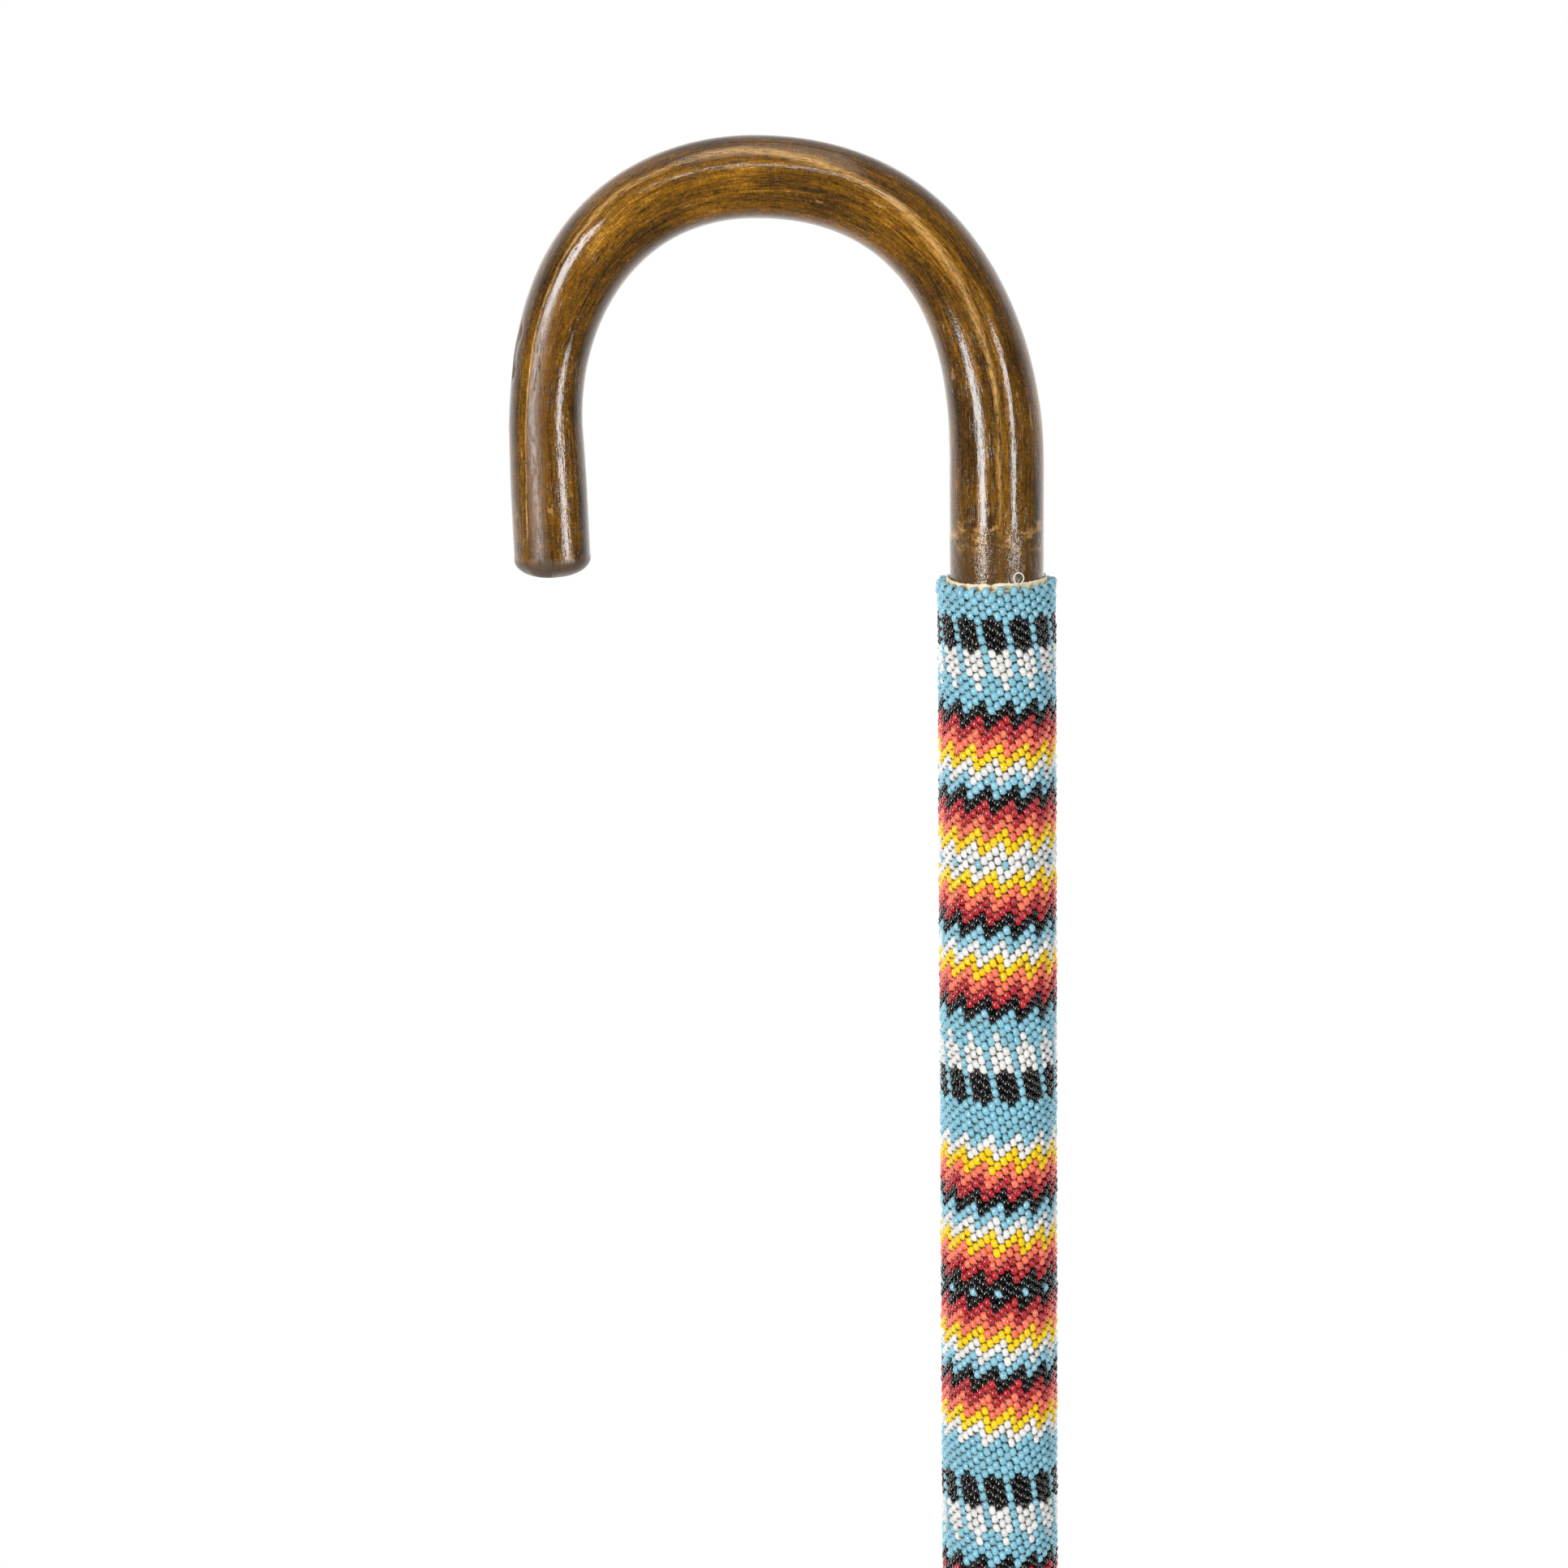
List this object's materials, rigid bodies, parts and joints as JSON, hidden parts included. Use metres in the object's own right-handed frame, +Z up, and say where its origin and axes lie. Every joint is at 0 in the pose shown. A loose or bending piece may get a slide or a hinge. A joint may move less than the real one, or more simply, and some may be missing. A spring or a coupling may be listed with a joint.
{
  "type": "single point cane",
  "caption": "Wooden walking cane with a crook handle, its shaft wrapped in leather and a patterned sleeve of stitched glass seed beads, on a rubber tip.",
  "frame": {"origin": "centre of the rubber tip's foot face, on the shaft's axis", "axes": "+Z up along the shaft towards the handle; the crook bends over towards -X in the XZ plane, and the nose points down; the front, with the leather's seam, faces -Y"},
  "size_m": [0.1336, 0.038, 0.914],
  "materials": {
    "stained_wood": "stained and lacquered, glossy",
    "cream_leather": "matt smooth side out",
    "black_rubber": "matt moulded",
    "steel": "zinc plated",
    "bead_thread": "waxed nylon, slightly translucent",
    "turquoise_glass_beads": "opaque glass seed beads, glossy",
    "black_glass_beads": "opaque glass seed beads, glossy",
    "white_glass_beads": "opaque glass seed beads, glossy",
    "red_glass_beads": "opaque glass seed beads, glossy",
    "coral_glass_beads": "opaque glass seed beads, glossy",
    "yellow_glass_beads": "opaque glass seed beads, glossy"
  },
  "bodies": {
    "root": {"beads_black_belt_1": "black_glass_beads", "beads_black_belt_2": "black_glass_beads", "beads_black_belt_3": "black_glass_beads", "beads_blocks_1": "white_glass_beads", "beads_blocks_2": "white_glass_beads", "beads_blocks_3": "white_glass_beads", "beads_blocks_4": "white_glass_beads", "beads_collar_1": "turquoise_glass_beads", "beads_collar_2": "turquoise_glass_beads", "beads_collar_3": "turquoise_glass_beads", "beads_collar_4": "turquoise_glass_beads", "beads_falling_chevrons_1": "coral_glass_beads", "beads_falling_chevrons_2": "coral_glass_beads", "beads_falling_chevrons_3": "coral_glass_beads", "beads_falling_spears_1": "yellow_glass_beads", "beads_falling_spears_2": "yellow_glass_beads", "beads_falling_spears_3": "yellow_glass_beads", "beads_low_blocks_1": "black_glass_beads", "beads_low_blocks_2": "black_glass_beads", "beads_low_blocks_3": "black_glass_beads", "beads_low_blocks_4": "black_glass_beads", "beads_low_collar_1": "turquoise_glass_beads", "beads_low_collar_2": "turquoise_glass_beads", "beads_low_collar_3": "turquoise_glass_beads", "beads_low_collar_4": "turquoise_glass_beads", "beads_lower_chevrons_1": "red_glass_beads", "beads_lower_chevrons_2": "red_glass_beads", "beads_lower_chevrons_3": "red_glass_beads", "beads_lower_chevrons_4": "red_glass_beads", "beads_lower_spears_1": "yellow_glass_beads", "beads_lower_spears_2": "yellow_glass_beads", "beads_lower_spears_3": "yellow_glass_beads", "beads_lower_spears_4": "yellow_glass_beads", "beads_rising_chevrons_1": "white_glass_beads", "beads_rising_chevrons_2": "white_glass_beads", "beads_rising_chevrons_3": "white_glass_beads", "beads_rising_spears_1": "yellow_glass_beads", "beads_rising_spears_2": "yellow_glass_beads", "beads_rising_spears_3": "yellow_glass_beads", "beads_upper_chevrons_1": "red_glass_beads", "beads_upper_chevrons_2": "red_glass_beads", "beads_upper_chevrons_3": "red_glass_beads", "beads_upper_chevrons_4": "red_glass_beads", "beads_upper_spears_1": "coral_glass_beads", "beads_upper_spears_2": "coral_glass_beads", "beads_upper_spears_3": "coral_glass_beads", "beads_upper_spears_4": "coral_glass_beads", "ferrule_washer": "steel", "leather_sleeve": "cream_leather", "rubber_ferrule": "black_rubber", "thread_loop": "bead_thread", "wood_cane": "stained_wood"}
  },
  "joints": []
}
